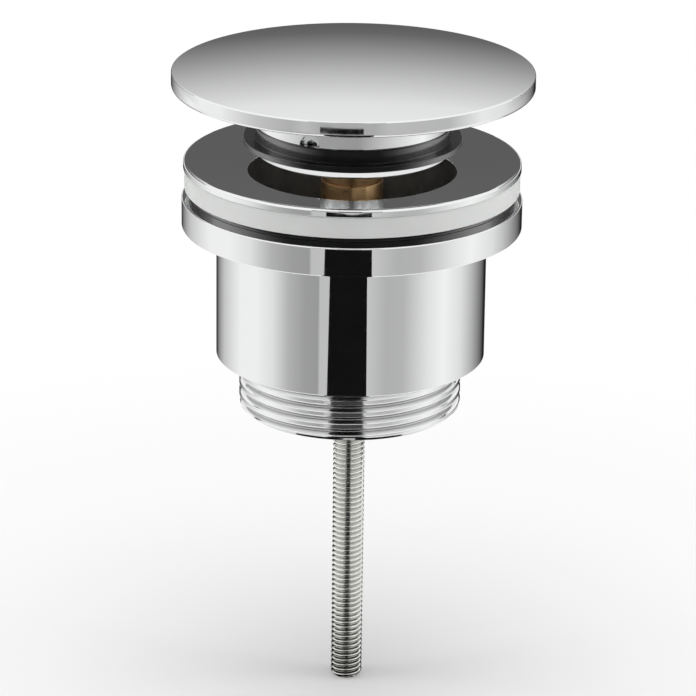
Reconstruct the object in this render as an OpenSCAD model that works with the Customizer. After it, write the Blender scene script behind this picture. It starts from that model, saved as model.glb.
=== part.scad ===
// Pop up basin waste: push plug on a latching cartridge, dished flange, clamped lower body, threaded tail.
// Millimetres, Z up along the axis, Z 0 is the basin's face between the two gaskets.

/* [Cap and plug] */
// Outside diameter of the cap
cap_d = 67.4; // [60:0.1:75]
// Height of the cap's edge
cap_edge_h = 3; // [2:0.1:4]
// Rise of the dome over the cap's edge
cap_rise = 1.8; // [0.5:0.1:5]
// Outside diameter of the neck under the cap
neck_d = 36.4; // [33:0.1:37]
// Length of bare neck between seal and cap
neck_h = 6.9; // [5:0.1:12]
// Wall of the neck tube
neck_wall = 3; // [2:0.1:4]
// Diameter of the ring under the seal
ring_d = 36; // [33:0.1:37]
// Height of the ring under the seal
ring_h = 1.85; // [1.5:0.05:3]
// Height of the plug's underside over the basin's face when open
plug_h = 7.15; // [6:0.05:9]
// Way down from open to closed
plug_travel = 5; // [3:0.1:5]
// Thickness of the web that the stem hangs from
web_t = 1.8; // [1.5:0.1:4]
// Width of the stem's nut across its corners
nut_d = 9.2; // [8.5:0.1:10]
// Height of the stem's nut
nut_h = 2.7; // [2:0.1:3]
// Wall of the core inside the neck
core_wall = 2.5; // [2:0.1:4]
// How far the core stops short of the cap's underside
core_short = 2.2; // [1:0.1:4]
// Gap around the cartridge in the recess under the plug
recess_gap = 0.8; // [0.5:0.1:2]

/* [Plug seal] */
// Outside diameter of the lip
lip_d = 40.8; // [40:0.1:42]
// Thickness of the lip
lip_t = 1.1; // [0.5:0.05:1.5]
// Height of the band over the lip
band_h = 2.6; // [2:0.05:4]
// Thickness of the band
band_t = 1.15; // [0.8:0.05:1.5]
// Depth of the band's seat in the neck
band_seat = 0.9; // [0.6:0.05:1.2]

/* [Flange and gaskets] */
// Outside diameter of the flange
flange_d = 63; // [58:0.1:70]
// Height of the flange's rim
rim_h = 1.5; // [1:0.05:3]
// Drop of the dished top from rim to hole
dish_drop = 1.8; // [0.8:0.05:1.8]
// Diameter of the hole
hole_d = 38.7; // [37.5:0.1:39.5]
// Outside diameter of the skirt
skirt_d = 42.4; // [41.5:0.1:43]
// Height of the shoulder between skirt and flange
shoulder_h = 2.6; // [2:0.1:4]
// Thickness of the upper gasket at its edge
upper_gasket_t = 4; // [2.5:0.1:5]
// Height of the lower gasket
lower_gasket_t = 3.1; // [2:0.1:4]
// Part of the lower gasket that stands over the collar
lower_gasket_show = 1.45; // [1:0.05:2]

/* [Lower body] */
// How far the collar stands out past the flange
collar_over = 0.3; // [0:0.05:2]
// Height of the collar
collar_h = 5.5; // [4:0.05:8]
// Outside diameter of the barrel
barrel_d = 50.6; // [49:0.1:54]
// Length of the barrel under the collar
barrel_h = 25.35; // [20:0.05:40]
// Outside diameter of the tail's G 1 1/4 thread
tail_d = 41.91; // [41.91]
// Length of the tail
tail_h = 10.4; // [9:0.1:20]
// Bore of the tail
tail_bore_d = 35.5; // [34:0.1:36.5]
// Length of the taper from the barrel's bore to the tail's
funnel_h = 3.2; // [2:0.1:6]
// Width of the collar's rim outside the lower gasket
collar_rim = 1.4; // [1:0.1:2.5]

/* [Bridges] */
// Width of a spoke
spoke_w = 3; // [2:0.1:4]
// Height of a bridge
bridge_h = 5; // [4:0.1:7]
// Diameter of the flange's hub
hub_d = 14; // [12:0.1:15]
// Diameter of the lower body's tapped hub
nut_hub_d = 11; // [10:0.1:13]

/* [Cartridge] */
// Outside diameter of the housing
housing_d = 11.6; // [11:0.1:12.5]
// Bore of the housing
housing_bore_d = 9; // [8.8:0.1:9.4]
// Height of the joint line between housing and gland nut
joint_z = 1.8; // [0:0.1:3]
// Outside diameter of the gland nut
gland_d = 11.4; // [10:0.1:11.5]
// Height of the gland nut over the joint line
gland_h = 4.9; // [3:0.1:5.2]
// Diameter of the stem
stem_d = 5; // [4.5:0.1:5]
// Height of the crown on the stem
crown_h = 2.3; // [2:0.1:3]
// Height of the rotor
rotor_h = 5.4; // [4:0.1:7]
// Length of the rotor's pilot inside the spring
pilot_h = 2.4; // [1.5:0.1:3]
// Thickness of the housing's floor
floor_t = 4.1; // [3:0.1:6]
// Length of the gland nut's spigot in the housing
spigot_h = 2.8; // [2:0.1:4]
// Height of the crown's teeth
tooth_h = 0.7; // [0.4:0.05:0.9]
// Height of the slope on ribs and guide ends that turns the rotor
cam_h = 0.9; // [0.5:0.05:1.2]
// Width of a guide slot
slot_w = 2.2; // [1.8:0.1:2.4]
// Depth of the housing's two spanner flats
flat_depth = 0.4; // [0.2:0.05:0.8]
// Height of the spanner flats
flat_h = 6; // [4:0.1:8]
// Thickness of the washer under the housing
washer_t = 0.8; // [0.5:0.1:1.5]
// Thickness of the spring's wire
wire_d = 0.6; // [0.4:0.05:0.7]
// Turns of the spring
spring_turns = 4; // [3:0.5:4.5]

/* [Clamp screw] */
// Diameter of the M6 screw
screw_d = 6; // [6]
// Reach of the screw under the basin's face
screw_reach = 99.1; // [80:0.1:120]

/* [Clearances] */
// Gap between the gaskets and at other faces that meet and part
seat_gap = 0.1; // [0.05:0.05:0.3]
// Gap around the stem, ribs and rotor
slide_gap = 0.15; // [0.1:0.05:0.2]
// Gap between the flange's skirt and the barrel's bore
skirt_gap = 0.8; // [0.6:0.05:1.5]
// Gap around the clamp screw in the flange's hub
screw_gap = 0.3; // [0.2:0.05:0.5]
// Gap around a threaded piece in its tapped hole
thread_gap = 0.06; // [0.03:0.01:0.1]

/* [Hidden] */
$fn = 96;
chrome = [0.80, 0.82, 0.84];
brass = [0.72, 0.55, 0.28];
steel = [0.66, 0.67, 0.69];
black = [0.05, 0.05, 0.05];
white = [0.88, 0.89, 0.88];
acetal = [0.82, 0.80, 0.74];

// Plug heights
lip_z = plug_h + ring_h;
band_z = lip_z + lip_t;
neck_z = band_z + band_h;
cap_z = neck_z + neck_h;
crease_z = cap_z + cap_edge_h;
cap_r = cap_d / 2;
crease_round = 0.25;
edge_round = 0.6;
dome_base_r = cap_r - crease_round;
dome_r = (dome_base_r * dome_base_r + cap_rise * cap_rise) / (2 * cap_rise);
neck_r = neck_d / 2;
tube_r = neck_r - neck_wall;
band_in_r = neck_r - band_seat;
core_r = tube_r - thread_gap;
pocket_r = core_r - core_wall;
recess_r = housing_d / 2 + recess_gap;
grub_d = 4;
grub_angle = -115.6;
grub_tip_d = 2.6;
grub_tip_len = 0.6;
grub_end = band_in_r - 0.2;
grub_socket = 2.3;
grub_socket_h = 1;

// Cartridge heights
gland_top = joint_z + gland_h;
gland_low = joint_z - spigot_h;
crown_top = gland_low - seat_gap;
crown_low = crown_top - crown_h;
guide_low = crown_low - plug_travel + 0.4;
rotor_top = crown_low - seat_gap;
rotor_low = rotor_top - rotor_h;
pilot_low = rotor_low - pilot_h;
floor_z = pilot_low - plug_travel - seat_gap;
housing_low = floor_z - floor_t;
hub_top = housing_low - washer_t - seat_gap;
hub_low = hub_top - bridge_h;
skirt_low = hub_low - 0.5;
web_z = gland_top + plug_travel + 0.6;
stem_top = web_z + web_t + nut_h + 0.5;
bore_r = housing_bore_d / 2;
guide_r = bore_r - 0.8;
deep_r = bore_r - 0.06;
shallow_r = bore_r - 0.4;
cam_r = bore_r - 0.2;
slots = 6;
rib_w = slot_w - 2 * slide_gap;
guide_w = 2 * PI * bore_r / slots - slot_w + 0.3;
gland_thread_r = bore_r + 0.25;
o_ring_t = 1.2;
spring_r = bore_r - 1.25;
screw_top = floor_z - 0.3;

// Flange and lower body heights
flange_low = upper_gasket_t + seat_gap;
rim_top = flange_low + rim_h;
rim_round = 0.5;
flange_r = flange_d / 2;
hole_r = hole_d / 2;
skirt_r = skirt_d / 2;
dish_out_r = flange_r - rim_round;
hole_round = 0.7;
dish_in_r = hole_r + hole_round;
seat_z = rim_top - dish_drop;
dish_slope = dish_drop / (dish_out_r - dish_in_r);
gasket_in_r = skirt_r + 1.2;
collar_top = -seat_gap - lower_gasket_show;
collar_low = collar_top - collar_h;
recess_z = -seat_gap - lower_gasket_t;
collar_r = flange_r + collar_over;
collar_round = 0.25;
lower_gasket_r = collar_r - collar_rim;
barrel_low = collar_low - barrel_h;
barrel_r = barrel_d / 2;
barrel_bore_r = skirt_r + skirt_gap;
barrel_round = 0.2;
tail_low = barrel_low - tail_h;
tail_r = tail_d / 2;
tail_bore_r = tail_bore_d / 2;
tail_chamfer = 0.75;
funnel_low = barrel_low + 0.2;
funnel_top = funnel_low + funnel_h;
nut_bridge_low = tail_low + 1.5;

// Square-cornered ring section from radius a to b and height z0 to z1
module ring_section(a, b, z0, z1) {
    translate([a, z0]) square([b - a, z1 - z0]);
}

// Disc section whose outer corners are rounded by t at the top and u at the bottom
module rounded_section(a, b, z0, z1, t, u) {
    polygon([[a, z0], [b - u, z0], [b, z0 + u], [b, z1 - t], [b - t, z1], [a, z1]]);
    translate([b - t, z1 - t]) circle(t);
    translate([b - u, z0 + u]) circle(u);
}

// Four spokes with bevelled tops, a hub at the middle, from height z up
module bridge(reach, hub_r, z) {
    translate([0, 0, z]) cylinder(r = hub_r, h = bridge_h);
    intersection() {
        for (a = [0, 90]) rotate([0, 0, a]) translate([reach, 0, z]) rotate([90, 0, -90])
            linear_extrude(2 * reach) polygon([[-spoke_w / 2, 0], [spoke_w / 2, 0],
                [spoke_w / 2, bridge_h - 1], [spoke_w / 2 - 0.8, bridge_h],
                [0.8 - spoke_w / 2, bridge_h], [-spoke_w / 2, bridge_h - 1]]);
        translate([0, 0, z]) cylinder(r = reach, h = bridge_h);
    }
}

// Cutter along the grub screw's line, from radius a to b
module grub_line(d, a, b) {
    rotate([0, 0, grub_angle]) translate([a, 0, neck_z]) rotate([0, 90, 0]) cylinder(d = d, h = b - a);
}

// Wedges standing on height z, one to each slot, pointing up
module teeth(r, w, h, z) {
    for (i = [0 : slots - 1]) rotate([0, 0, 360 / slots * i]) translate([r, 0, z]) rotate([90, 0, -90])
        linear_extrude(r - stem_d / 2 + 1) polygon([[-w / 2, 0], [w / 2, 0], [0, h]]);
}

// Radial prisms, one to every slot counted by step and turned by a, whose section is given across and up
module radial(r, step, a, section) {
    for (i = [0 : step : slots - 1]) rotate([0, 0, 360 / slots * i + a])
        translate([r, 0, 0]) rotate([90, 0, -90]) linear_extrude(r - 1) polygon(section);
}

module cap() {
    color(chrome) difference() {
        rotate_extrude() {
            rounded_section(0, cap_r, cap_z, crease_z, crease_round, edge_round);
            intersection() {
                translate([0, crease_z + cap_rise - dome_r]) circle(dome_r, $fn = 720);
                ring_section(0, dome_base_r, crease_z - 0.2, crease_z + cap_rise + 1);
            }
            ring_section(tube_r, neck_r, neck_z, cap_z + 0.1);
            ring_section(tube_r, band_in_r, band_z, neck_z + 0.1);
        }
        grub_line(grub_d + 2 * thread_gap, tube_r - 1, neck_r + 1);
    }
}

module plug_core() {
    color(chrome) difference() {
        rotate_extrude() difference() {
            union() {
                rounded_section(0, ring_d / 2, plug_h, lip_z, 0.2, 0.4);
                ring_section(0, core_r, plug_h, cap_z - core_short);
            }
            ring_section(-1, recess_r, plug_h - 1, web_z);
            ring_section(-1, pocket_r, web_z + web_t, cap_z);
            ring_section(-1, stem_d / 2 + thread_gap, web_z - 1, cap_z);
        }
        grub_line(grub_tip_d + 4 * thread_gap, core_r - grub_tip_len, core_r + 1);
    }
}

module plug_seal() {
    color(black) rotate_extrude() {
        rounded_section(core_r, lip_d / 2, lip_z, band_z, 0.2, 0.2);
        polygon([[band_in_r, band_z - 0.1], [band_in_r + band_t - 0.3, band_z - 0.1],
            [band_in_r + band_t, neck_z - 0.2], [band_in_r + band_t - 0.2, neck_z], [band_in_r, neck_z]]);
    }
}

module grub_screw() {
    color(steel) difference() {
        union() {
            grub_line(grub_d, core_r + thread_gap, grub_end);
            grub_line(grub_tip_d, core_r - grub_tip_len + thread_gap, core_r + 0.5);
        }
        rotate([0, 0, grub_angle]) translate([grub_end - grub_socket_h, 0, neck_z]) rotate([0, 90, 0])
            cylinder(d = grub_socket, h = 2 * grub_socket_h, $fn = 6);
    }
}

module stem() {
    color(steel) difference() {
        union() {
            rotate_extrude() polygon([[0, crown_low], [stem_d / 2, crown_low], [stem_d / 2, stem_top - 0.5],
                [stem_d / 2 - 0.5, stem_top], [0, stem_top]]);
            translate([0, 0, crown_low]) cylinder(r = guide_r - slide_gap, h = crown_h);
            intersection() {
                for (i = [0 : slots / 2 - 1]) rotate([0, 0, 360 / slots * i])
                    translate([-bore_r, -rib_w / 2, crown_low]) cube([2 * bore_r, rib_w, crown_h]);
                translate([0, 0, crown_low]) cylinder(r = shallow_r - slide_gap, h = crown_h);
            }
        }
        teeth(bore_r, slot_w + 0.4, tooth_h + 0.1, crown_low - 0.01);
    }
}

module stem_nut() {
    color(brass) translate([0, 0, web_z + web_t]) difference() {
        cylinder(d = nut_d, h = nut_h, $fn = 6);
        translate([0, 0, -1]) cylinder(d = stem_d + 2 * thread_gap, h = nut_h + 2);
    }
}

module rotor() {
    color(acetal) {
        translate([0, 0, rotor_low]) cylinder(r = guide_r - slide_gap, h = rotor_h);
        translate([0, 0, pilot_low]) cylinder(r = spring_r - wire_d / 2 - slide_gap, h = pilot_h + 0.1);
        intersection() {
            radial(bore_r, 2, 0, [[-rib_w / 2, rotor_low], [rib_w / 2, rotor_low],
                [rib_w / 2, rotor_top - 0.2], [-rib_w / 2, rotor_top - 0.2 - cam_h]]);
            translate([0, 0, rotor_low]) cylinder(r = deep_r - slide_gap, h = rotor_h);
        }
        intersection() {
            teeth(bore_r, slot_w - 0.4, tooth_h, rotor_top - 0.01);
            translate([0, 0, rotor_top - 0.5]) cylinder(r = guide_r - slide_gap, h = 2);
        }
    }
}

module cartridge_housing() {
    color(brass) difference() {
        rotate_extrude() difference() {
            rounded_section(0, housing_d / 2, housing_low, joint_z, 0.15, 0.4);
            ring_section(-1, screw_d / 2 + thread_gap, housing_low - 1, floor_z + 1);
            ring_section(-1, bore_r, floor_z, guide_low);
            ring_section(-1, guide_r, guide_low - 1, gland_low + 1);
            ring_section(-1, gland_thread_r, gland_low, joint_z + 1);
        }
        for (i = [0 : slots - 1]) rotate([0, 0, 360 / slots * i]) intersection() {
            translate([0, -slot_w / 2, guide_low - 1]) cube([bore_r + 1, slot_w, gland_low - guide_low + 2]);
            translate([0, 0, guide_low - 1])
                cylinder(r = i % 2 == 0 ? deep_r : shallow_r, h = gland_low - guide_low + 2);
        }
        intersection() {
            radial(bore_r, 1, 180 / slots, [[-guide_w / 2, guide_low - 0.5], [guide_w / 2, guide_low - 0.5],
                [guide_w / 2, guide_low + 0.2], [-guide_w / 2, guide_low + 0.2 + cam_h]]);
            translate([0, 0, guide_low - 1]) cylinder(r = cam_r, h = cam_h + 3);
        }
        for (s = [-1, 1])
            translate([-housing_d, s * housing_d - housing_d / 2 - s * flat_depth, housing_low + 2])
                cube([2 * housing_d, housing_d, flat_h]);
    }
}

module gland_nut() {
    color(brass) rotate_extrude() difference() {
        union() {
            polygon([[0, joint_z], [gland_d / 2 - 0.2, joint_z], [gland_d / 2, joint_z + 0.2],
                [gland_d / 2, gland_top - 0.5], [gland_d / 2 - 0.5, gland_top], [0, gland_top]]);
            ring_section(0, gland_thread_r - thread_gap, gland_low, joint_z + 0.1);
        }
        ring_section(-1, stem_d / 2 + slide_gap, gland_low - 1, gland_top + 1);
        ring_section(0, stem_d / 2 + slide_gap + o_ring_t, joint_z + 0.7, joint_z + 0.7 + o_ring_t + 0.1);
    }
}

module stem_o_ring() {
    color(black) translate([0, 0, joint_z + 0.75 + o_ring_t / 2])
        rotate_extrude() translate([stem_d / 2 + slide_gap / 2 + o_ring_t / 2, 0]) circle(d = o_ring_t);
}

// Wire section in the plan view, stretched around the axis so that it is round across the wire
module cartridge_spring() {
    pitch = (rotor_low - floor_z - wire_d) / spring_turns;
    color(steel) translate([0, 0, floor_z + seat_gap / 2])
        linear_extrude(rotor_low - floor_z - seat_gap, twist = -360 * spring_turns,
            slices = 24 * spring_turns, $fn = 12)
            polygon([for (p = [0 : 30 : 330])
                let (r = spring_r + wire_d / 2 * cos(p), a = 180 * wire_d / pitch * sin(p))
                    [r * cos(a), r * sin(a)]]);
}

module seat_washer() {
    color(acetal) translate([0, 0, housing_low - washer_t]) difference() {
        cylinder(d = hub_d - 0.8, h = washer_t);
        translate([0, 0, -1]) cylinder(d = screw_d + 2 * thread_gap, h = washer_t + 2);
    }
}

module clamp_screw() {
    color(steel) rotate_extrude() polygon([[0, -screw_reach], [screw_d / 2 - 0.7, -screw_reach],
        [screw_d / 2, 0.7 - screw_reach], [screw_d / 2, screw_top], [0, screw_top]]);
}

module flange() {
    color(chrome) difference() {
        union() {
            rotate_extrude() {
                polygon([[hole_r, skirt_low], [skirt_r, skirt_low], [skirt_r, flange_low - shoulder_h],
                    [gasket_in_r, flange_low - dish_slope * (flange_r - gasket_in_r)],
                    [flange_r, flange_low], [flange_r, rim_top - rim_round], [dish_out_r, rim_top],
                    [dish_in_r, seat_z], [hole_r, seat_z - hole_round]]);
                translate([dish_out_r, rim_top - rim_round]) circle(rim_round);
                translate([dish_in_r, seat_z - hole_round]) circle(hole_round);
            }
            bridge(hole_r + 0.5, hub_d / 2, hub_low);
        }
        translate([0, 0, hub_low - 1]) cylinder(r = screw_d / 2 + screw_gap, h = bridge_h + 2);
    }
}

module upper_gasket() {
    edge_r = flange_r - 0.2;
    color(white) rotate_extrude() polygon([[gasket_in_r, seat_gap], [edge_r - 0.3, seat_gap],
        [edge_r, seat_gap + 0.3], [edge_r, flange_low - dish_slope * (flange_r - edge_r)],
        [gasket_in_r, flange_low - dish_slope * (flange_r - gasket_in_r)]]);
}

module lower_gasket() {
    color(black) rotate_extrude()
        rounded_section(barrel_bore_r + 2, lower_gasket_r, recess_z, -seat_gap, 0.4, 0.2);
}

module lower_body() {
    color(chrome) difference() {
        union() {
            rotate_extrude() difference() {
                union() {
                    rounded_section(tail_bore_r, collar_r, collar_low, collar_top,
                        collar_round, collar_round);
                    rounded_section(tail_bore_r, barrel_r, barrel_low, collar_low + 1, 0.1, barrel_round);
                    polygon([[tail_bore_r, tail_low], [tail_r - tail_chamfer, tail_low],
                        [tail_r, tail_low + tail_chamfer], [tail_r, barrel_low + 0.5],
                        [tail_bore_r, barrel_low + 0.5]]);
                }
                ring_section(0, lower_gasket_r, recess_z, 0);
                polygon([[0, funnel_low], [tail_bore_r, funnel_low], [barrel_bore_r, funnel_top],
                    [barrel_bore_r, 0], [0, 0]]);
            }
            bridge(tail_bore_r + 0.5, nut_hub_d / 2, nut_bridge_low);
        }
        translate([0, 0, nut_bridge_low - 1]) cylinder(r = screw_d / 2 + thread_gap, h = bridge_h + 2);
    }
}

cap();
plug_core();
plug_seal();
grub_screw();
stem();
stem_nut();
rotor();
cartridge_housing();
gland_nut();
stem_o_ring();
cartridge_spring();
seat_washer();
clamp_screw();
flange();
upper_gasket();
lower_gasket();
lower_body();
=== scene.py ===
import math
import bpy
import bmesh
from mathutils import Matrix, Quaternion, Vector


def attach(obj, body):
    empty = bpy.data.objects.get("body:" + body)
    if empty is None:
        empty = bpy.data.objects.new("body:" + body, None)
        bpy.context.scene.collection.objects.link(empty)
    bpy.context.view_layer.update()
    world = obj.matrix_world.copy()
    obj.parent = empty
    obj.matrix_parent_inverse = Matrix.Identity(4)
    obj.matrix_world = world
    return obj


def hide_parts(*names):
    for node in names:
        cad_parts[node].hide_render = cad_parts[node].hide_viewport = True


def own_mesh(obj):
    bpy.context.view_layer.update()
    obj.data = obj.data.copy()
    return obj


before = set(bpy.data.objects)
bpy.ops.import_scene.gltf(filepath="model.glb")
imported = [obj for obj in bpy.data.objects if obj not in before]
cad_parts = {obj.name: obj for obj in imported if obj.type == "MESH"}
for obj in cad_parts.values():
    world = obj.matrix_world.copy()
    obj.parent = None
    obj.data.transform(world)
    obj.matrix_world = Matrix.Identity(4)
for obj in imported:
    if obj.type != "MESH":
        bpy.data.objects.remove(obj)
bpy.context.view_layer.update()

scene = bpy.context.scene
scene.view_settings.view_transform = "Standard"
mm = 0.001
fullTurn = 2 * math.pi


# shared making of meshes, with outlines as (radius, height) in mm and angles in degrees

meshRules = {"longSide": 0.5, "nearest": 0.06, "nearShare": 0.1, "crease": 32, "solidCrease": 30,
             "solidWeld": 1e-7, "seamWeld": 1e-6}


def link(obj):
    scene.collection.objects.link(obj)
    return obj


def corner(r, z, radius, start, stop, count=7):  # points of a rounded corner around its centre
    turns = [math.radians(start + (stop - start) * i / count) for i in range(count + 1)]
    return [(r + radius * math.cos(a), z + radius * math.sin(a)) for a in turns]


def supported(outline, closed):  # points close to the ends of long sides keep their shading flat
    made = []
    for i, point in enumerate(outline):
        made.append(point)
        after = outline[(i + 1) % len(outline)]
        length = math.dist(point[:2], after[:2])
        if length > meshRules["longSide"] and (closed or i < len(outline) - 1):
            near = min(meshRules["nearest"], length * meshRules["nearShare"]) / length
            for share in (near, 1 - near):
                r, z = (point[k] + (after[k] - point[k]) * share for k in (0, 1))
                made.append((r, z) + tuple(point[2:]))
    return made


def smoothMesh(mesh, crease):
    for face in mesh.polygons:
        face.use_smooth = True
    mesh.set_sharp_from_angle(angle=math.radians(crease))


def settled(bm, name, finishes):  # a working mesh becomes an object
    mesh = bpy.data.meshes.new(name)
    bm.to_mesh(mesh)
    bm.free()
    for finish in finishes:
        mesh.materials.append(finish)
    return link(bpy.data.objects.new(name, mesh))


def flattened(obj):  # what the modifiers make becomes the object's own plain mesh
    start = obj.data
    made = bpy.data.meshes.new_from_object(obj.evaluated_get(bpy.context.evaluated_depsgraph_get()))
    obj.modifiers.clear()
    obj.data = made
    bpy.data.meshes.remove(start)
    made.name = obj.name


def turned(name, outline, finishes, around):  # a lathe; a point's third value is the finish from there on
    closed = outline[0][0] > 0 and outline[-1][0] > 0
    turns = [fullTurn * k / around for k in range(around)]
    bm = bmesh.new()
    rings, kinds, kind = [], [], 0
    for r, z, *change in supported(outline, closed):
        kind = change[0] if change else kind
        kinds.append(kind)
        if r < meshRules["seamWeld"]:
            rings.append([bm.verts.new((0, 0, z * mm))] * around)
        else:
            rings.append([bm.verts.new((r * mm * math.cos(a), r * mm * math.sin(a), z * mm)) for a in turns])
    for i in range(len(rings) if closed else len(rings) - 1):
        this, other = rings[i], rings[(i + 1) % len(rings)]
        for k in range(around):
            after = (k + 1) % around
            loop = list(dict.fromkeys([this[k], this[after], other[after], other[k]]))
            if len(loop) > 2:
                bm.faces.new(loop).material_index = kinds[i]
    bmesh.ops.recalc_face_normals(bm, faces=bm.faces)
    obj = settled(bm, name, finishes)
    smoothMesh(obj.data, meshRules["crease"])
    return obj


def smoothed(node, name, finish):  # a machined piece from its solid, welded and shaded smooth
    bm = bmesh.new()
    bm.from_mesh(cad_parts[node].data)
    bmesh.ops.remove_doubles(bm, verts=bm.verts, dist=meshRules["solidWeld"])
    bmesh.ops.recalc_face_normals(bm, faces=bm.faces)
    for face in bm.faces:
        face.material_index = 0
    obj = settled(bm, name, [finish])
    if "custom_normal" in obj.data.attributes:
        obj.data.attributes.remove(obj.data.attributes["custom_normal"])
    smoothMesh(obj.data, meshRules["solidCrease"])
    return obj


def hand(obj, body, slotName, *nodes):  # put a finished piece on its body
    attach(obj, body)
    if nodes:
        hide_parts(*nodes)


# shared making of node trees

def newTree(name, sizes, counts):
    tree = bpy.data.node_groups.new(name, "GeometryNodeTree")
    tree.interface.new_socket("Geometry", in_out="OUTPUT", socket_type="NodeSocketGeometry")
    labels = {"NodeSocketFloat": sizes, "NodeSocketInt": counts, "NodeSocketMaterial": ("Finish",)}
    for kind, names in labels.items():
        for label in names:
            tree.interface.new_socket(label, in_out="INPUT", socket_type=kind)
    return tree, tree.nodes.new("NodeGroupInput").outputs


def fill(tree, socket, value):
    if isinstance(value, bpy.types.NodeSocket):
        tree.links.new(value, socket)
    else:
        socket.default_value = value


def put(tree, kind, settings=None, **sockets):  # a node with its settings, and its sockets by name
    node = tree.nodes.new(kind)
    for key, value in (settings or {}).items():
        setattr(node, key, value)
    for key, value in sockets.items():
        fill(tree, node.inputs[key.replace("_", " ")], value)
    return node


def calc(tree, operation, *terms, kind="ShaderNodeMath", result=0):
    node = put(tree, kind, {"operation": operation})
    for socket, term in zip(node.inputs, terms):
        fill(tree, socket, term)
    return node.outputs[result]


def closeTree(tree, geometry, finish):  # every tree ends the same way
    real = put(tree, "GeometryNodeRealizeInstances", Geometry=geometry)
    coat = put(tree, "GeometryNodeSetMaterial", Geometry=real.outputs[0], Material=finish)
    tree.links.new(coat.outputs[0], tree.nodes.new("NodeGroupOutput").inputs[0])


def grown(name, tree, values, finish):  # run a tree once and keep its plain mesh
    obj = link(bpy.data.objects.new(name, bpy.data.meshes.new(name + "Start")))
    maker = obj.modifiers.new("maker", "NODES")
    maker.node_group = tree
    for item in tree.interface.items_tree:
        if item.in_out == "INPUT":
            maker[item.identifier] = finish if item.name == "Finish" else values[item.name]
    flattened(obj)
    bm = bmesh.new()
    bm.from_mesh(obj.data)
    bmesh.ops.recalc_face_normals(bm, faces=bm.faces)
    bm.to_mesh(obj.data)
    bm.free()
    smoothMesh(obj.data, values["crease"])
    return obj


def threadTree():  # a closed tube whose outside carries a helical thread
    sizes = ("Radius", "Depth", "Pitch", "Top", "Bottom", "Core", "Chamfer", "Runout", "Crest", "Root")
    tree, given = newTree("threadCutting", sizes, ("Around", "Along"))
    columns = calc(tree, "ADD", given["Around"], 1)
    grid = put(tree, "GeometryNodeMeshGrid", Size_X=1.0, Size_Y=1.0, Vertices_X=columns,
               Vertices_Y=given["Along"])
    spot = put(tree, "ShaderNodeSeparateXYZ", Vector=tree.nodes.new("GeometryNodeInputPosition").outputs[0])
    share = calc(tree, "ADD", spot.outputs["X"], 0.5)  # the grid spans -0.5 to 0.5
    down = calc(tree, "ADD", spot.outputs["Y"], 0.5)
    angle = calc(tree, "MULTIPLY", share, fullTurn)
    row = calc(tree, "ROUND", calc(tree, "MULTIPLY", down, calc(tree, "SUBTRACT", given["Along"], 1)))
    steps = calc(tree, "SUBTRACT", given["Along"], 4)  # the first row and the last two are on the core
    along = calc(tree, "DIVIDE", calc(tree, "SUBTRACT", row, 1), steps)
    along = calc(tree, "MINIMUM", calc(tree, "MAXIMUM", along, 0.0), 1.0)
    drop = calc(tree, "SUBTRACT", given["Bottom"], given["Top"])
    height = calc(tree, "MULTIPLY_ADD", along, drop, given["Top"])
    phase = calc(tree, "SUBTRACT", calc(tree, "DIVIDE", height, given["Pitch"]), share)
    ridge = put(tree, "ShaderNodeMapRange", {"interpolation_type": "SMOOTHSTEP"},
                Value=calc(tree, "MULTIPLY", calc(tree, "PINGPONG", phase, 0.5), 2.0),
                From_Min=given["Crest"], From_Max=given["Root"], To_Min=0.0, To_Max=1.0).outputs[0]
    fade = calc(tree, "DIVIDE", calc(tree, "SUBTRACT", given["Top"], height), given["Runout"])
    fade = calc(tree, "MINIMUM", fade, 1.0)
    cut = calc(tree, "MULTIPLY", calc(tree, "MULTIPLY", ridge, fade), given["Depth"])
    above = calc(tree, "SUBTRACT", height, given["Bottom"])
    bevel = calc(tree, "MAXIMUM", calc(tree, "SUBTRACT", given["Chamfer"], above), 0.0)
    outside = calc(tree, "SUBTRACT", given["Radius"], calc(tree, "MAXIMUM", cut, bevel))
    fromEnd = calc(tree, "SUBTRACT", given["Along"], row)
    inner = calc(tree, "MAXIMUM", calc(tree, "LESS_THAN", row, 0.5), calc(tree, "LESS_THAN", fromEnd, 2.5))
    step = calc(tree, "SUBTRACT", given["Core"], outside)
    radius = calc(tree, "MULTIPLY_ADD", inner, step, outside)
    hollow = calc(tree, "GREATER_THAN", given["Core"], meshRules["seamWeld"])
    back = calc(tree, "MULTIPLY", calc(tree, "LESS_THAN", fromEnd, 1.5), hollow)  # last row closes a tube
    rise = calc(tree, "MULTIPLY_ADD", back, calc(tree, "SUBTRACT", given["Top"], height), height)
    wound = put(tree, "ShaderNodeCombineXYZ", X=calc(tree, "MULTIPLY", radius, calc(tree, "COSINE", angle)),
                Y=calc(tree, "MULTIPLY", radius, calc(tree, "SINE", angle)), Z=rise)
    moved = put(tree, "GeometryNodeSetPosition", Geometry=grid.outputs["Mesh"], Position=wound.outputs[0])
    joined = put(tree, "GeometryNodeMergeByDistance", Geometry=moved.outputs[0],
                 Distance=meshRules["seamWeld"])
    closeTree(tree, joined.outputs[0], given["Finish"])
    return tree


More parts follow.
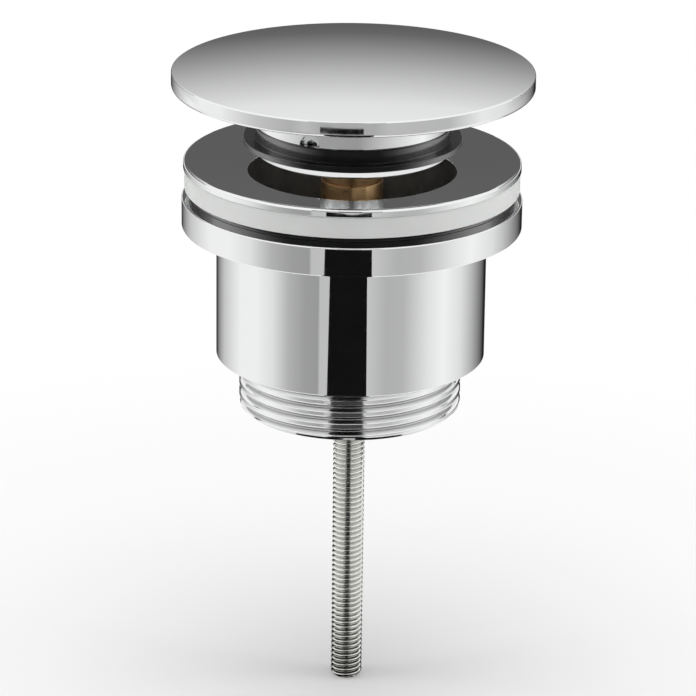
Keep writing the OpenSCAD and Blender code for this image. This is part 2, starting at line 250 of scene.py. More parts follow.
def spokeTree():  # bars around the middle, each with softened long edges
    sizes = ("Reach", "Start", "Width", "Height", "Low", "Soft")
    tree, given = newTree("spokeRing", sizes, ("Count", "SoftSteps"))
    section = put(tree, "GeometryNodeCurvePrimitiveQuadrilateral", Width=given["Height"],
                  Height=given["Width"])
    soft = put(tree, "GeometryNodeFilletCurve", {"mode": "POLY"}, Curve=section.outputs[0],
               Radius=given["Soft"], Count=given["SoftSteps"])
    inEnd = put(tree, "ShaderNodeCombineXYZ", X=given["Start"])
    outEnd = put(tree, "ShaderNodeCombineXYZ", X=given["Reach"])
    line = put(tree, "GeometryNodeCurvePrimitiveLine", Start=inEnd.outputs[0], End=outEnd.outputs[0])
    bar = put(tree, "GeometryNodeCurveToMesh", Curve=line.outputs[0], Profile_Curve=soft.outputs[0],
              Fill_Caps=True)
    ring = put(tree, "GeometryNodeMeshCircle", Vertices=given["Count"], Radius=0.0)
    number = tree.nodes.new("GeometryNodeInputIndex").outputs[0]
    turn = calc(tree, "DIVIDE", calc(tree, "MULTIPLY", number, fullTurn), given["Count"])
    spin = put(tree, "ShaderNodeCombineXYZ", Z=turn)
    bars = put(tree, "GeometryNodeInstanceOnPoints", Points=ring.outputs[0], Instance=bar.outputs[0],
               Rotation=spin.outputs[0])
    middle = calc(tree, "MULTIPLY_ADD", given["Height"], 0.5, given["Low"])
    lift = put(tree, "ShaderNodeCombineXYZ", Z=middle)
    placed = put(tree, "GeometryNodeTransform", Geometry=bars.outputs[0], Translation=lift.outputs[0])
    closeTree(tree, placed.outputs[0], given["Finish"])
    return tree


def coilTree():  # a wire wound around the axis
    sizes = ("Radius", "Wire", "Turns", "Low", "High")
    tree, given = newTree("springCoil", sizes, ("TurnSteps", "WireSides"))
    tall = calc(tree, "SUBTRACT", calc(tree, "SUBTRACT", given["High"], given["Low"]), given["Wire"])
    path = put(tree, "GeometryNodeCurveSpiral", Resolution=given["TurnSteps"], Rotations=given["Turns"],
               Start_Radius=given["Radius"], End_Radius=given["Radius"], Height=tall)
    wire = put(tree, "GeometryNodeCurvePrimitiveCircle", Resolution=given["WireSides"],
               Radius=calc(tree, "MULTIPLY", given["Wire"], 0.5))
    coil = put(tree, "GeometryNodeCurveToMesh", Curve=path.outputs[0], Profile_Curve=wire.outputs[0],
               Fill_Caps=True)
    lowest = calc(tree, "MULTIPLY_ADD", given["Wire"], 0.5, given["Low"])
    lift = put(tree, "ShaderNodeCombineXYZ", Z=lowest)
    placed = put(tree, "GeometryNodeTransform", Geometry=coil.outputs[0], Translation=lift.outputs[0])
    closeTree(tree, placed.outputs[0], given["Finish"])
    return tree


# finishes: the speckle mixes a dark and a bright colour, and the smear varies the roughness given as gloss;
# speckle, smear and bumpGrain are a noise's scale and detail, and a bump is its strength and depth in mm

def grain(tree, place, scale, detail, stretch=(1, 1, 1)):
    spread = put(tree, "ShaderNodeMapping", Vector=place, Scale=stretch)
    return put(tree, "ShaderNodeTexNoise", Vector=spread.outputs[0], Scale=scale, Detail=detail).outputs[0]


def between(tree, value, low, high, start=0.35, stop=0.65):
    return put(tree, "ShaderNodeMapRange", Value=value, From_Min=start, From_Max=stop, To_Min=low,
               To_Max=high).outputs[0]


def tint(tree, value, dark, bright):
    node = put(tree, "ShaderNodeMix", {"data_type": "RGBA"})
    tree.links.new(value, node.inputs["Factor"])
    node.inputs[6].default_value = (*dark, 1)  # sockets 6, 7 and 2 are the ones for colours
    node.inputs[7].default_value = (*bright, 1)
    return node.outputs[2]


def relief(tree, skin, height, strength, depth):
    bump = put(tree, "ShaderNodeBump", Height=height, Strength=strength, Distance=depth * mm)
    tree.links.new(bump.outputs[0], skin["Normal"])


def objectPlace(tree):
    return tree.nodes.new("ShaderNodeTexCoord").outputs["Object"]


def opened(material):
    return material.node_tree, material.node_tree.nodes["Principled BSDF"].inputs


def newFinish(name, look):
    material = bpy.data.materials.new(name)
    material.use_nodes = True
    tree, skin = opened(material)
    place = objectPlace(tree)
    skin["Base Color"].default_value = (*look["bright"], 1)
    skin["Metallic"].default_value = look["metal"]
    for label, value in look.get("sockets", {}).items():
        skin[label].default_value = value
    tree.links.new(between(tree, grain(tree, place, *look["smear"]), *look["gloss"]), skin["Roughness"])
    if "speckle" in look:
        speckle = grain(tree, place, *look["speckle"])
        tree.links.new(tint(tree, speckle, look["dark"], look["bright"]), skin["Base Color"])
    if "bump" in look:
        relief(tree, skin, grain(tree, place, *look["bumpGrain"]), *look["bump"])
    return material


chromeLook = {"bright": (0.89, 0.895, 0.895), "metal": 1, "gloss": (0.012, 0.04), "smear": (450, 3),
              "bump": (0.02, 0.1), "bumpGrain": (160, 1)}  # faint waviness under the plating
# dull metal inside the bores and bridges, its darker base colour painted shade of the deep hole
boreLook = {"dark": (0.27, 0.27, 0.265), "bright": (0.50, 0.495, 0.48), "speckle": (300, 3), "metal": 0.9,
            "gloss": (0.34, 0.55), "smear": (700, 3), "bump": (0.35, 0.1), "bumpGrain": (900, 4)}
acetalLook = {"dark": (0.72, 0.70, 0.64), "bright": (0.78, 0.76, 0.71), "speckle": (300, 3), "metal": 0,
              "gloss": (0.34, 0.5), "smear": (800, 3), "bump": (0.1, 0.05), "bumpGrain": (1500, 3)}
steelLook = {"dark": (0.62, 0.63, 0.635), "bright": (0.80, 0.81, 0.815), "speckle": (400, 4), "metal": 1,
             "gloss": (0.24, 0.38), "smear": (900, 3), "bump": (0.04, 0.04), "bumpGrain": (2200, 3)}
grubLook = {**steelLook, "dark": (0.76, 0.765, 0.77), "bright": (0.88, 0.885, 0.89), "gloss": (0.16, 0.26)}
siliconeLook = {"dark": (0.70, 0.71, 0.70), "bright": (0.79, 0.80, 0.79), "speckle": (120, 4), "metal": 0,
                "gloss": (0.42, 0.58), "smear": (700, 3), "bump": (0.12, 0.06), "bumpGrain": (1300, 4),
                "sockets": {"Subsurface Weight": 0.12, "Subsurface Scale": 0.001}}

polishedChrome = newFinish("polishedChrome", chromeLook)
dullBorePaintedShade = newFinish("dullBorePaintedShade", boreLook)
mouldedAcetal = newFinish("mouldedAcetal", acetalLook)
zincedSteel = newFinish("zincedSteel", steelLook)
dullSteel = newFinish("dullSteel", grubLook)
gasketSilicone = newFinish("gasketSilicone", siliconeLook)

brassLook = {"dark": (0.84, 0.53, 0.26), "bright": (0.92, 0.61, 0.31), "speckle": (260, 4), "metal": 0.95,
             "gloss": (0.27, 0.33), "smear": (500, 3, (1, 1, 6)), "rings": 640.0, "wobble": 0.6,
             "ringBump": (0.14, 0.05), "sockets": {"Anisotropic": 0.8, "Anisotropic Rotation": 0.25}}


def makeTurnedBrass(look):
    material = newFinish("turnedBrass", look)
    tree, skin = opened(material)
    facing = tree.nodes.new("ShaderNodeNewGeometry").outputs["Normal"]
    around = calc(tree, "CROSS_PRODUCT", (0, 0, 1), facing, kind="ShaderNodeVectorMath")
    tree.links.new(around, skin["Tangent"])  # streaks follow the lathe's turn
    rings = put(tree, "ShaderNodeTexWave", {"bands_direction": "Z"}, Vector=objectPlace(tree),
                Scale=look["rings"], Distortion=look["wobble"])
    relief(tree, skin, rings.outputs[1], *look["ringBump"])  # marks of the turning tool
    return material


turnedBrass = makeTurnedBrass(brassLook)

rubberLook = {"dark": (0.010, 0.010, 0.0105), "bright": (0.019, 0.019, 0.020), "speckle": (350, 3),
              "metal": 0, "gloss": (0.12, 0.2), "smear": (900, 3), "bump": (0.05, 0.06),
              "bumpGrain": (1600, 4), "shine": (1.14, 2.7), "shineFrom": 0.12, "shineTo": 0.38}


def makeSealRubber(look):
    material = newFinish("sealRubber", look)
    tree, skin = opened(material)
    turn = put(tree, "ShaderNodeLayerWeight", Blend=0.5).outputs["Facing"]
    shine = between(tree, turn, *look["shine"], look["shineFrom"], look["shineTo"])
    tree.links.new(shine, skin["IOR"])  # a moulded skin's gloss grows where it turns away
    return material


sealRubber = makeSealRubber(rubberLook)

# the dark colours below are painted shade in the thread roots, set by distance from the axis
rolledLook = {"root": 2.45, "crest": 2.85, "dark": (0.55, 0.55, 0.52), "bright": (0.90, 0.90, 0.87),
              "metal": 1, "gloss": (0.12, 0.22), "smear": (600, 3)}
platedLook = {"root": 20.1, "crest": 20.8, "dark": (0.58, 0.58, 0.58), "bright": (0.90, 0.905, 0.905),
              "metal": 1, "gloss": (0.07, 0.13), "smear": (600, 3)}


def makeThreadFinishWithPaintedShade(name, look):  # bright on the crests, with painted shade darkening the roots
    material = newFinish(name, look)
    tree, skin = opened(material)
    flat = calc(tree, "MULTIPLY", objectPlace(tree), (1, 1, 0), kind="ShaderNodeVectorMath")
    fromAxis = calc(tree, "LENGTH", flat, kind="ShaderNodeVectorMath", result="Value")
    height = between(tree, fromAxis, 0.0, 1.0, look["root"] * mm, look["crest"] * mm)
    tree.links.new(tint(tree, height, look["dark"], look["bright"]), skin["Base Color"])
    return material


rolledThread = makeThreadFinishWithPaintedShade("rolledThread", rolledLook)
platedThread = makeThreadFinishWithPaintedShade("platedThread", platedLook)
print("finishes made")


# cap and neck, one turned piece with the grub screw's hole through the neck

capSizes = {"rim": 33.7, "crease": 22.6, "rise": 1.8, "domeSteps": 40, "creaseRound": 0.25, "creaseTurn": 84,
            "under": 19.6, "edgeRound": 0.6, "neck": 18.2, "neckLow": 12.7, "neckRound": 0.3,
            "lowRound": 0.12, "bandSeat": 17.3, "seatLow": 10.1, "bore": 15.2, "around": 288,
            "hole": 2.06, "holeAngle": -115.6, "holeMiddle": 16.9, "holeDepth": 4.4, "holeSides": 48}


def makeCap(c):
    base = c["rim"] - c["creaseRound"]
    dome = (base ** 2 + c["rise"] ** 2) / (2 * c["rise"])  # radius of the dome from its chord and rise
    middle = c["crease"] + c["rise"] - dome
    turns = [math.asin(base / dome) * i / c["domeSteps"] for i in range(c["domeSteps"])]
    outline = [(dome * math.sin(a), middle + dome * math.cos(a)) for a in turns]
    outline += corner(base, c["crease"] - c["creaseRound"], c["creaseRound"], c["creaseTurn"], 0)
    outline += corner(c["rim"] - c["edgeRound"], c["under"] + c["edgeRound"], c["edgeRound"], 0, -90, 10)
    outline += corner(c["neck"] + c["neckRound"], c["under"] - c["neckRound"], c["neckRound"], 90, 180, 5)
    outline += corner(c["neck"] - c["lowRound"], c["neckLow"] + c["lowRound"], c["lowRound"], 0, -90, 4)
    outline += [(c["bandSeat"], c["neckLow"]), (c["bandSeat"], c["seatLow"]), (c["bore"], c["seatLow"], 1),
                (c["bore"], c["under"]), (0, c["under"])]
    return turned("domedCap", outline, [polishedChrome, dullBorePaintedShade], c["around"])


def drillNeck(cap, c):
    place = Matrix.Rotation(math.radians(c["holeAngle"]), 4, "Z")
    place = place @ Matrix.Translation((c["holeMiddle"] * mm, 0, c["neckLow"] * mm))
    place = place @ Matrix.Rotation(math.pi / 2, 4, "Y")  # the drill lies across the neck's wall
    drill = bmesh.new()
    bmesh.ops.create_cone(drill, cap_ends=True, segments=c["holeSides"], radius1=c["hole"] * mm,
                          radius2=c["hole"] * mm, depth=c["holeDepth"] * mm, matrix=place)
    tool = settled(drill, "drill", [polishedChrome])
    cut = cap.modifiers.new("screwHole", "BOOLEAN")
    cut.operation, cut.solver, cut.object = "DIFFERENCE", "EXACT", tool
    flattened(cap)
    smoothMesh(cap.data, meshRules["crease"])
    bpy.data.objects.remove(tool)
    return cap


hand(drillNeck(makeCap(capSizes), capSizes), "plug", "chrome", "cap")

coreSizes = {"ring": 18.0, "low": 7.15, "lowRound": 0.4, "ringTop": 9.0, "topRound": 0.2, "tube": 15.14,
             "top": 17.4, "pocket": 12.64, "recess": 6.6, "recessRound": 0.4, "recessEdge": 0.3,
             "webLow": 12.3, "webTop": 14.1, "hole": 2.56, "around": 224}


def makeCore(c):
    inset = c["recess"] - c["recessRound"]
    outline = [(c["hole"], c["webLow"]), (inset, c["webLow"])]
    outline += corner(inset, c["webLow"] - c["recessRound"], c["recessRound"], 90, 0, 4)
    outline += [(c["recess"], c["low"] + c["recessEdge"]), (c["recess"] + c["recessEdge"], c["low"])]
    outline += corner(c["ring"] - c["lowRound"], c["low"] + c["lowRound"], c["lowRound"], -90, 0)
    outline += corner(c["ring"] - c["topRound"], c["ringTop"] - c["topRound"], c["topRound"], 0, 90, 5)
    outline += [(c["tube"], c["ringTop"]), (c["tube"], c["top"]), (c["pocket"], c["top"]),
                (c["pocket"], c["webTop"]), (c["hole"], c["webTop"])]
    return turned("plugCore", outline, [polishedChrome], c["around"])


hand(makeCore(coreSizes), "plug", "chrome", "plug_core")

sealSizes = {"inside": coreSizes["tube"], "lip": 20.4, "lipLow": coreSizes["ringTop"],
             "lipTop": capSizes["seatLow"], "lipRound": 0.2, "seat": capSizes["bandSeat"],
             "bandLow": 18.15, "footOut": 0.13, "footRound": 0.12, "footTurn": 187, "bandTop": 18.45,
             "top": capSizes["neckLow"], "topRound": 0.22, "around": 224}


def makeSeal(c):
    lip = c["lip"] - c["lipRound"]
    outline = [(c["inside"], c["lipLow"])]
    outline += corner(lip, c["lipLow"] + c["lipRound"], c["lipRound"], -90, 0, 5)
    outline += corner(lip, c["lipTop"] - c["lipRound"], c["lipRound"], 0, 90, 5)
    outline += corner(c["bandLow"] + c["footOut"], c["lipTop"] + c["footRound"], c["footRound"], 270,
                      c["footTurn"], 4)
    outline += corner(c["bandTop"] - c["topRound"], c["top"] - c["topRound"], c["topRound"], 0, 90, 5)
    outline += [(c["seat"], c["top"]), (c["seat"], c["lipTop"]), (c["inside"], c["lipTop"])]
    return turned("plugSeal", outline, [sealRubber], c["around"])


hand(makeSeal(sealSizes), "plug", "black_rubber", "plug_seal")
hand(smoothed("grub_screw", "grubScrew", dullSteel), "plug", "steel", "grub_screw")
hand(smoothed("stem", "latchStem", zincedSteel), "plug", "steel", "stem")
hand(smoothed("stem_nut", "stemNut", turnedBrass), "plug", "brass", "stem_nut")
hand(smoothed("rotor", "latchRotor", mouldedAcetal), "plug", "acetal", "rotor")
print("plug made")


# cartridge, clamp screw and spring

glandSizes = {"bore": 2.65, "boreEdge": 0.2, "thread": 4.69, "threadEdge": 0.3, "low": -1.0, "joint": 1.8,
              "jointDeep": 0.5, "jointIn": 0.16, "jointOut": 0.22, "outside": 5.7, "plated": 3.7, "top": 6.7,
              "topEdge": 0.5, "groove": 3.85, "grooveLow": 2.5, "grooveTop": 3.8, "around": 128}


def makeGland(c):
    inJoint = c["outside"] - c["jointDeep"]
    outline = [(c["bore"], c["low"]), (c["thread"] - c["threadEdge"], c["low"]),
               (c["thread"], c["low"] + c["threadEdge"]), (c["thread"], c["joint"])]
    outline += [(inJoint, c["joint"]), (inJoint, c["joint"] + c["jointIn"]),
                (c["outside"], c["joint"] + c["jointOut"])]
    outline += [(c["outside"], c["plated"], 1), (c["outside"], c["top"] - c["topEdge"]),
                (c["outside"] - c["topEdge"], c["top"]), (c["bore"] + c["boreEdge"], c["top"]),
                (c["bore"], c["top"] - c["boreEdge"], 0)]
    outline += [(c["bore"], c["grooveTop"]), (c["groove"], c["grooveTop"]), (c["groove"], c["grooveLow"]),
                (c["bore"], c["grooveLow"])]
    return turned("glandNut", outline, [turnedBrass, zincedSteel], c["around"])


hand(makeGland(glandSizes), "clamp", "brass", "gland_nut")
hand(smoothed("cartridge_housing", "cartridgeHousing", turnedBrass), "clamp", "brass", "cartridge_housing")
hand(smoothed("stem_o_ring", "stemRing", sealRubber), "clamp", "black_rubber", "stem_o_ring")
hand(smoothed("seat_washer", "seatWasher", mouldedAcetal), "clamp", "acetal", "seat_washer")

threads = threadTree()
screwSizes = {"Radius": 0.003, "Depth": 0.0006, "Pitch": 0.001, "Top": -0.0167, "Bottom": -0.0991,
              "Core": 0.0, "Chamfer": 0.0007, "Runout": 0.0004, "Crest": 0.2, "Root": 0.92, "Around": 48,
              "Along": 1310, "crease": 60}  # a tree's sizes are in metres
hand(grown("clampScrew", threads, screwSizes, rolledThread), "clamp", "steel", "clamp_screw")

springSizes = {"Radius": 0.00325, "Wire": 0.0006, "Turns": 4.0, "Low": -0.01635, "High": -0.00895,
               "TurnSteps": 28, "WireSides": 10, "crease": 60}
spring = grown("returnSpring", coilTree(), springSizes, zincedSteel)
hand(spring, "clamp", "steel", "cartridge_spring")
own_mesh(spring)
print("cartridge made")


# flange with its bridge, and the two gaskets

spokes = spokeTree()
flangeSizes = {"rim": 31.5, "low": 4.1, "top": 5.6, "rimRound": 0.5, "dishTurn": 99, "seat": 20.05,
               "seatTop": 3.8, "holeRound": 0.7, "hole": 19.35, "skirt": 21.2, "skirtLow": -26.9,
               "shoulder": 1.5, "gasket": 22.4, "gasketTop": 2.61, "edgeIn": 0.15, "edgeUnder": 0.02,
               "edgeUp": 0.13, "hub": 7.0, "hubHole": 3.3, "bridgeLow": -26.4, "bridgeTop": -21.4,
               "spokeStart": 5.5, "spokeReach": 19.5, "around": 288}
bridgeSizes = {"Width": 0.003, "Soft": 0.0006, "Count": 4, "SoftSteps": 3, "crease": 32}
hubEdges = {"outside": 0.35, "hole": 0.25, "around": 96}


def makeFlange(c):
    outline = corner(c["rim"] - c["rimRound"], c["top"] - c["rimRound"], c["rimRound"], 0, c["dishTurn"], 10)
    outline += corner(c["seat"], c["seatTop"] - c["holeRound"], c["holeRound"], c["dishTurn"], 180, 9)
    outline[-1] += (1,)  # from here the bore is dull metal, darkened with painted shade
    outline += [(c["hole"], c["skirtLow"]), (c["skirt"], c["skirtLow"], 0), (c["skirt"], c["shoulder"]),
                (c["gasket"], c["gasketTop"]), (c["rim"] - c["edgeIn"], c["low"] - c["edgeUnder"]),
                (c["rim"], c["low"] + c["edgeUp"])]
    return turned("dishedFlange", outline, [polishedChrome, dullBorePaintedShade], c["around"])


def makeHub(name, c):  # the middle of a bridge
    hole, outside, low, top = c["hubHole"], c["hub"], c["bridgeLow"], c["bridgeTop"]
    out, bore = hubEdges["outside"], hubEdges["hole"]
    outline = [(hole, low + bore), (hole + bore, low), (outside - out, low), (outside, low + out),
               (outside, top - out), (outside - out, top), (hole + bore, top), (hole, top - bore)]
    return turned(name, outline, [dullBorePaintedShade], hubEdges["around"])


def makeSpokes(name, c):  # from inside the hub to inside the wall
    places = {"Start": c["spokeStart"] * mm, "Reach": c["spokeReach"] * mm, "Low": c["bridgeLow"] * mm,
              "Height": (c["bridgeTop"] - c["bridgeLow"]) * mm}
    return grown(name, spokes, {**bridgeSizes, **places}, dullBorePaintedShade)


hand(makeFlange(flangeSizes), "basin_flange", "chrome", "flange")
hand(makeSpokes("flangeSpokes", flangeSizes), "basin_flange", "chrome")
hand(makeHub("flangeHub", flangeSizes), "basin_flange", "chrome")

gasketSizes = {"inside": flangeSizes["gasket"], "outside": 31.3, "low": 0.1, "soft": 0.3,
               "edgeTop": 4.07, "edgeRound": 0.15, "edgeDown": 0.17, "edgeTurn": 80, "insideTop": 2.6,
               "around": 256}


def makeUpperGasket(c):
    outline = [(c["inside"], c["low"])]
    outline += corner(c["outside"] - c["soft"], c["low"] + c["soft"], c["soft"], -90, 0)
    outline += corner(c["outside"] - c["edgeRound"], c["edgeTop"] - c["edgeDown"], c["edgeRound"], 0,
                      c["edgeTurn"], 5)
    outline += [(c["inside"], c["insideTop"])]
    return turned("whiteGasket", outline, [gasketSilicone], c["around"])


washerSizes = {"inside": 24.0, "outside": 30.4, "low": -3.2, "lowRound": 0.2, "top": -0.1, "soft": 0.4,
               "groove": -0.75, "grooveDeep": 0.16, "grooveOut": 0.14, "grooveIn": 0.05, "around": 256}


def makeLowerGasket(c):
    inGroove = c["outside"] - c["grooveDeep"]
    outline = [(c["inside"], c["low"])]
    outline += corner(c["outside"] - c["lowRound"], c["low"] + c["lowRound"], c["lowRound"], -90, 0, 4)
    outline += [(c["outside"], c["groove"] - c["grooveOut"]), (inGroove, c["groove"] - c["grooveIn"]),
                (inGroove, c["groove"] + c["grooveIn"]), (c["outside"], c["groove"] + c["grooveOut"])]
    outline += corner(c["outside"] - c["soft"], c["top"] - c["soft"], c["soft"], 0, 90)
    outline += [(c["inside"], c["top"])]
    return turned("blackGasket", outline, [sealRubber], c["around"])


hand(makeUpperGasket(gasketSizes), "basin_flange", "white_silicone", "upper_gasket")
hand(makeLowerGasket(washerSizes), "tailpiece", "black_rubber", "lower_gasket")
print("flange made")


# lower body: collar and barrel turned, tail threaded, bridge with the tapped hub

bodySizes = {"collar": 31.8, "collarTop": -1.55, "collarLow": -7.05, "collarRound": 0.25,
             "recess": washerSizes["outside"], "recessLow": washerSizes["low"], "fillet": 0.25,
             "barrel": 25.3, "barrelLow": -32.4, "barrelRound": 0.2, "bore": 22.0, "funnelTop": -29.0,
             "funnelLow": -32.2, "tailBore": 17.75, "hub": 5.5, "hubHole": 3.06, "bridgeLow": -41.3,
             "bridgeTop": -36.3, "spokeStart": 4.5, "spokeReach": 18.0, "around": 288}
tailSizes = {"Radius": 0.020955, "Depth": 0.00095, "Pitch": 0.002309, "Top": -0.03225, "Bottom": -0.0428,
             "Core": bodySizes["tailBore"] * mm, "Chamfer": 0.00075, "Runout": 0.0007, "Crest": 0.3,
             "Root": 0.95, "Around": 288, "Along": 150, "crease": 60}


def makeBarrel(c):
    edge, fillet, soft = c["collarRound"], c["fillet"], c["barrelRound"]
    outline = [(c["bore"], c["recessLow"]), (c["recess"], c["recessLow"]), (c["recess"], c["collarTop"])]
    outline += corner(c["collar"] - edge, c["collarTop"] - edge, edge, 90, 0, 10)
    outline += corner(c["collar"] - edge, c["collarLow"] + edge, edge, 0, -90, 10)
    outline += corner(c["barrel"] + fillet, c["collarLow"] - fillet, fillet, 90, 180, 4)
    outline += corner(c["barrel"] - soft, c["barrelLow"] + soft, soft, 0, -90)
    # the bore below takes the dull finish darkened with painted shade
    outline += [(c["tailBore"], c["barrelLow"], 1), (c["tailBore"], c["funnelLow"]),
                (c["bore"], c["funnelTop"])]
    return turned("barrelBody", outline, [polishedChrome, dullBorePaintedShade], c["around"])


hand(makeBarrel(bodySizes), "tailpiece", "chrome", "lower_body")
hand(grown("threadedTail", threads, tailSizes, platedThread), "tailpiece", "chrome")
hand(makeSpokes("tailSpokes", bodySizes), "tailpiece", "chrome")
hand(makeHub("tappedHub", bodySizes), "tailpiece", "chrome")
print("lower body made")


# studio: pale floor, white surroundings, soft lamps, and cards that only polished metal sees

def glowing(name):
    material = bpy.data.materials.new(name)
    material.use_nodes = True
    tree = material.node_tree
    tree.nodes.clear()
    out = tree.nodes.new("ShaderNodeOutputMaterial")
    glow = tree.nodes.new("ShaderNodeEmission")
    tree.links.new(glow.outputs[0], out.inputs[0])
    return material, glow


def evenGlow(name, level):
    material, glow = glowing(name)
    glow.inputs[0].default_value = (level, level, level, 1)
    return material


def greys(tree, value, stops):
    ramp = tree.nodes.new("ShaderNodeValToRGB")
    tree.links.new(value, ramp.inputs[0])
    for i, (spot, level) in enumerate(stops):
        mark = ramp.color_ramp.elements[i] if i < 2 else ramp.color_ramp.elements.new(spot)
        mark.position = spot
        mark.color = (level, level, level, 1)
    return ramp.outputs[0]


def seenStraight(tree):  # 1 for the camera, also by way of metal or glass
    ray = tree.nodes.new("ShaderNodeLightPath").outputs
    seen = calc(tree, "MAXIMUM", ray["Is Camera Ray"], ray["Is Glossy Ray"])
    return calc(tree, "MAXIMUM", seen, ray["Is Transmission Ray"])


def card(name, points, faces, material):
    mesh = bpy.data.meshes.new(name)
    mesh.from_pydata([tuple(v * mm for v in point) for point in points], [], faces)
    mesh.materials.append(material)
    return link(bpy.data.objects.new(name, mesh))


def panel(name, points, material):
    return card(name, points, [tuple(range(len(points)))], material)


def bent(name, c, material):  # an upright band around the axis, from angle to angle with 0 in front
    count = c["steps"]
    turns = [math.radians(c["start"] + (c["stop"] - c["start"]) * i / count) for i in range(count + 1)]
    points = [(c["radius"] * math.sin(a), -c["radius"] * math.cos(a), z) for z in (c["low"], c["top"])
              for a in turns]
    return card(name, points, [(i, i + 1, count + i + 2, count + i + 1) for i in range(count)], material)


def onlyForGloss(obj):
    obj.visible_camera = obj.visible_diffuse = obj.visible_transmission = False
    obj.visible_shadow = obj.visible_volume_scatter = False


floorSizes = {"height": -99.15, "reach": 3000.0, "shadowFrom": 50.0, "shadowTo": 220.0,
              "color": (0.93, 0.93, 0.93, 1)}


def makeFloor(c):  # matt near the object, so that its shadow shows, and white further out
    material, glow = glowing("paleFloor")
    tree = material.node_tree
    away = calc(tree, "LENGTH", objectPlace(tree), kind="ShaderNodeVectorMath", result="Value")
    far = put(tree, "ShaderNodeMapRange", {"interpolation_type": "SMOOTHSTEP"}, Value=away,
              From_Min=c["shadowFrom"] * mm, From_Max=c["shadowTo"] * mm, To_Min=0.0, To_Max=1.0).outputs[0]
    matt = put(tree, "ShaderNodeBsdfDiffuse", Color=c["color"])
    blend = put(tree, "ShaderNodeMixShader", Fac=calc(tree, "MULTIPLY", far, seenStraight(tree)))
    tree.links.new(matt.outputs[0], blend.inputs[1])
    tree.links.new(glow.outputs[0], blend.inputs[2])
    back = tree.nodes.new("ShaderNodeNewGeometry").outputs["Backfacing"]
    below = put(tree, "ShaderNodeMixShader", Fac=back)  # clear from underneath
    tree.links.new(blend.outputs[0], below.inputs[1])
    tree.links.new(tree.nodes.new("ShaderNodeBsdfTransparent").outputs[0], below.inputs[2])
    tree.links.new(below.outputs[0], tree.nodes["Material Output"].inputs[0])
    z, end = c["height"], c["reach"]
    panel("paleFloor", [(-end, -end, z), (end, -end, z), (end, end, z), (-end, end, z)], material)


ringSizes = {"radius": 160.0, "start": -180, "stop": 180, "steps": 180}
ringTops = {"bodyRing": -33.0, "neckRing": -20.0, "capRing": -7.4}  # each ring stands on the one before
ringLevels = {  # angle from the front, and light
    "bodyRing": [(-157, 0.01), (-129, 0.60), (-101, 0.95), (-82, 0.96), (-65, 0.82), (-50, 0.49),
                 (-36, 0.37), (-25, 0.35), (-24, 0.56), (12, 0.62), (28, 0.48), (42, 0.50), (64, 0.83),
                 (80, 0.98), (100, 0.81), (127, 0.34), (150, 0.02)],
    "neckRing": [(-157, 0.01), (-114, 0.95), (-94, 0.90), (-70, 0.70), (-36, 0.37), (6, 0.34), (42, 0.65),
                 (85, 1.0), (112, 0.67), (150, 0.02)],
    "capRing": [(-157, 0.01), (-129, 0.60), (-101, 0.95), (-82, 0.92), (-57, 0.60), (-35, 0.47),
                (-27, 0.55), (-17, 0.44), (12, 0.44), (20, 0.54), (56, 0.52), (80, 0.90), (100, 0.81),
                (127, 0.34), (150, 0.02)]}


def makeRing(name, low, top):  # light around the object, brightest at the sides and dark behind
    material, glow = glowing(name)
    tree = material.node_tree
    turn = put(tree, "ShaderNodeMapping", Vector=objectPlace(tree), Rotation=(0, 0, math.pi / 2))
    around = put(tree, "ShaderNodeTexGradient", {"gradient_type": "RADIAL"}, Vector=turn.outputs[0])
    stops = [(0.5 + angle / 360, level) for angle, level in ringLevels[name]]
    tree.links.new(greys(tree, around.outputs["Fac"], stops), glow.inputs[0])
    onlyForGloss(bent(name, {**ringSizes, "low": low, "top": top}, material))


cardSizes = {"black": 0.006, "grey": 0.055, "stripAway": -150, "stripLow": (-51, 36),
             "stripMiddle": (-48.1, 34.8), "stripTop": (-41, 32), "middleHeight": -82.0, "topHeight": -33.4,
             "floorGap": 0.1, "floorEnd": [(11, -14), (26, -4), (26, 20), (-26, 20), (-26, -4), (-14, -14)],
             "cameraAway": -300, "camera": (-44, 34), "cameraLow": -20, "cameraTop": 120}
bandSizes = {"radius": 150, "steps": 24}
edgeBar = {**bandSizes, "start": -18, "stop": 6, "low": -14.6, "top": -13.3}
frontBoard = {**bandSizes, "start": -24, "stop": 18, "low": 4, "top": 36}


def upright(name, away, low, lowEnds, top, topEnds, material):  # a flat card that faces the object
    left, right = lowEnds
    topLeft, topRight = topEnds
    points = [(left, away, low), (right, away, low), (topRight, away, top), (topLeft, away, top)]
    onlyForGloss(panel(name, points, material))


def makeCards(c):
    black = evenGlow("blackCard", c["black"])
    grey = evenGlow("greyCard", c["grey"])
    away, ground, middle = c["stripAway"], floorSizes["height"], c["middleHeight"]
    upright("tailStrip", away, ground, c["stripLow"], middle, c["stripMiddle"], grey)
    upright("frontStrip", away, middle, c["stripMiddle"], c["topHeight"], c["stripTop"], black)
    onFloor = [(x, away) for x in c["stripLow"]] + c["floorEnd"]
    onlyForGloss(panel("floorStrip", [(x, y, ground + c["floorGap"]) for x, y in onFloor], black))
    upright("cameraCard", c["cameraAway"], c["cameraLow"], c["camera"], c["cameraTop"], c["camera"], black)
    onlyForGloss(bent("edgeBar", edgeBar, black))
    onlyForGloss(bent("frontBoard", frontBoard, black))


backSizes = {"away": 50.0, "low": -5.4, "step": 11.0, "top": 115.0, "narrow": 30, "wide": 170}
backLevels = [(-5.4, 0.125), (23.4, 0.115), (26.8, 0.14), (35.0, 0.32), (46.0, 0.575), (58.5, 0.825),
              (68.0, 0.87), (115.0, 0.92)]  # height, and light


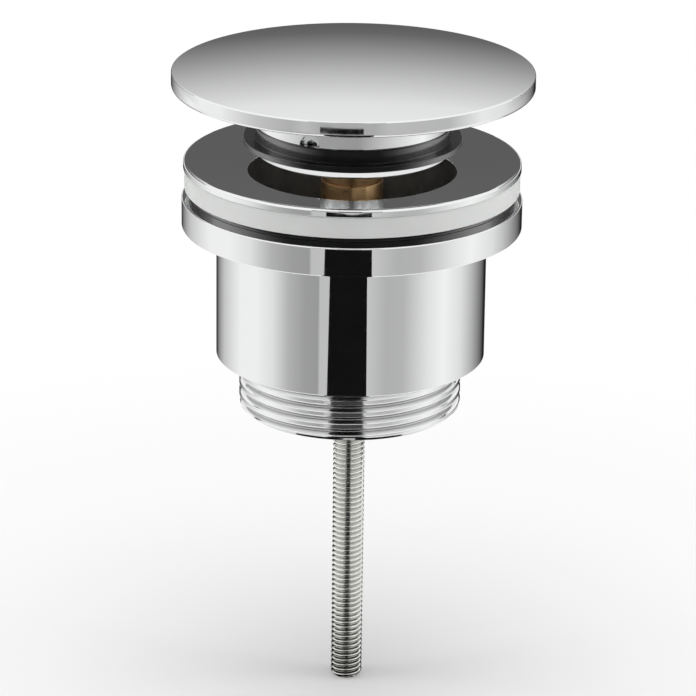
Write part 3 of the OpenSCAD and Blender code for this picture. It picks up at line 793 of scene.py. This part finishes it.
def makeBackShade(c):  # what the cap's dome and the flange's dish mirror from behind
    material, glow = glowing("backShade")
    tree = material.node_tree
    height = put(tree, "ShaderNodeSeparateXYZ", Vector=objectPlace(tree)).outputs["Z"]
    share = between(tree, height, 0.0, 1.0, c["low"] * mm, c["top"] * mm)
    stops = [((z - c["low"]) / (c["top"] - c["low"]), level) for z, level in backLevels]
    tree.links.new(greys(tree, share, stops), glow.inputs[0])
    half = [(c["narrow"], c["low"]), (c["narrow"], c["step"]), (c["wide"], c["step"]), (c["wide"], c["top"])]
    points = [(x, c["away"], z) for x, z in half] + [(-x, c["away"], z) for x, z in reversed(half)]
    onlyForGloss(panel("backShade", points, material))


lampSizes = {"topLamp": {"spot": (0, -60, 900), "size": 700, "power": 5.0},
             "leftLamp": {"spot": (-560, -60, 160), "size": 360, "power": 1.0},
             "rightLamp": {"spot": (560, -60, 160), "size": 360, "power": 1.1}}
lampTarget = (0, 0, -20)


def makeLamp(name, c):
    lamp = bpy.data.lights.new(name, "AREA")
    lamp.size = c["size"] * mm
    lamp.energy = c["power"]
    obj = link(bpy.data.objects.new(name, lamp))
    obj.location = Vector(c["spot"]) * mm
    obj.rotation_euler = (Vector(lampTarget) * mm - obj.location).to_track_quat("-Z", "Y").to_euler()
    obj.visible_glossy = False


skyLight = 0.36  # what lights the object, while the camera sees white


def makeSky():
    world = bpy.data.worlds.new("whiteStudio")
    scene.world = world
    world.use_nodes = True
    tree = world.node_tree
    sky = tree.nodes["Background"]
    sky.inputs[0].default_value = (1, 1, 1, 1)
    tree.links.new(calc(tree, "MULTIPLY_ADD", seenStraight(tree), 1 - skyLight, skyLight), sky.inputs[1])


makeFloor(floorSizes)
ringLow = floorSizes["height"]
for ringName, ringTop in ringTops.items():
    makeRing(ringName, ringLow, ringTop)
    ringLow = ringTop
makeCards(cardSizes)
makeBackShade(backSizes)
for lampName, lampSize in lampSizes.items():
    makeLamp(lampName, lampSize)
makeSky()
print("studio made")

cameraSizes = {"lens": 207.0, "sensor": 36.0, "nearest": 0.01, "farthest": 20.0, "away": 757.2,
               "elevation": 19.75, "look": (-0.4, 0.0, -31.87), "roll": 0.7}


def makeCamera(c):
    data = bpy.data.cameras.new("photoCamera")
    data.lens = c["lens"]
    data.sensor_width = c["sensor"]
    data.clip_start, data.clip_end = c["nearest"], c["farthest"]
    obj = link(bpy.data.objects.new("photoCamera", data))
    tilt = math.radians(c["elevation"])
    target = Vector(c["look"]) * mm
    obj.location = target + Vector((0, -math.cos(tilt), math.sin(tilt))) * c["away"] * mm
    aim = (target - obj.location).to_track_quat("-Z", "Y") @ Quaternion((0, 0, 1), math.radians(c["roll"]))
    obj.rotation_euler = aim.to_euler()
    scene.camera = obj


makeCamera(cameraSizes)
print("camera made")
